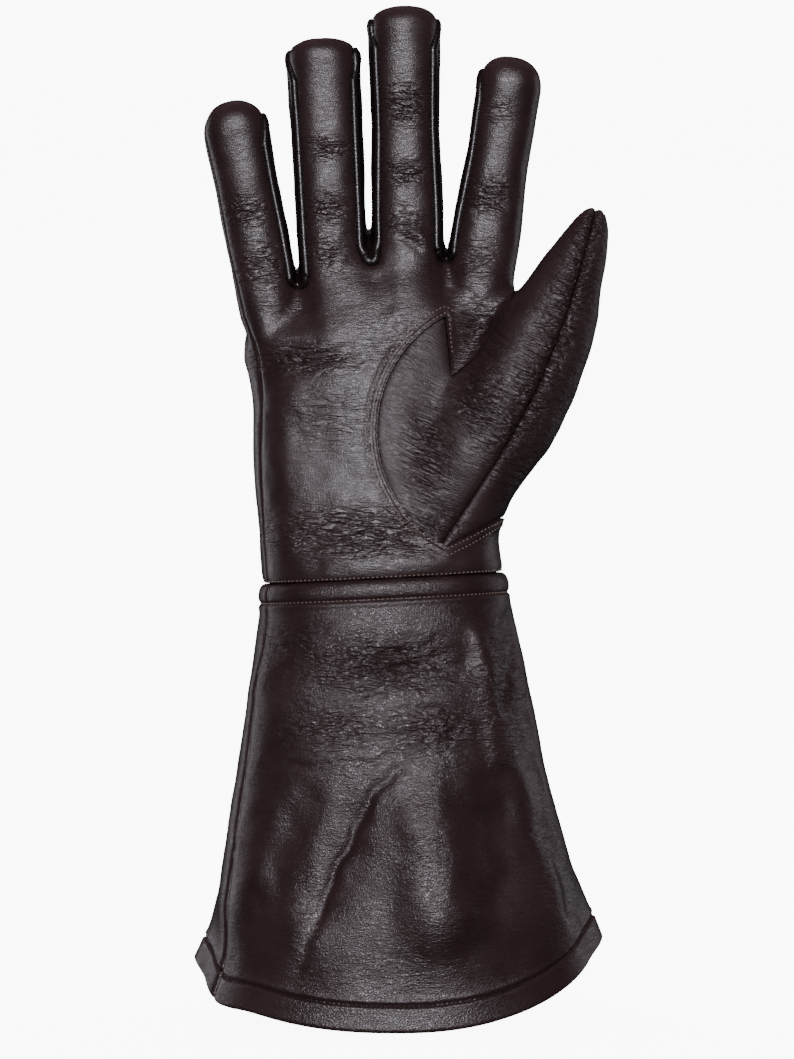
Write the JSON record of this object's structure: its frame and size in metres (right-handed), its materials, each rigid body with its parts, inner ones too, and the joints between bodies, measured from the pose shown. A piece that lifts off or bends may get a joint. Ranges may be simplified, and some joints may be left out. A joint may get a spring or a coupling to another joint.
{
  "type": "gauntlet glove",
  "caption": "Leather gauntlet glove for the right hand, in its worn form, with strips between the fingers, a set-in thumb and a long flared cuff.",
  "frame": {"origin": "the middle of the wrist seam, where a wrist fills the glove", "axes": "+Z to the fingertips, +X to the thumb's side, -Y out of the palm"},
  "size_m": [0.1472, 0.1004, 0.3559],
  "materials": {
    "hand_leather": "semi-gloss dark brown nappa, finely creased",
    "thumb_leather": "semi-gloss dark brown nappa, finely creased",
    "strip_leather": "darker and a little glossier dark brown nappa",
    "cuff_leather": "semi-gloss dark brown nappa, softly folded"
  },
  "bodies": {
    "root": {"palm": "hand_leather", "back": "hand_leather", "thumb_inner_panel": "thumb_leather", "thumb_outer_panel": "thumb_leather", "fourchette_little_ring": "strip_leather", "fourchette_ring_middle": "strip_leather", "fourchette_middle_index": "strip_leather", "cuff_front": "cuff_leather", "cuff_back": "cuff_leather"}
  },
  "joints": []
}
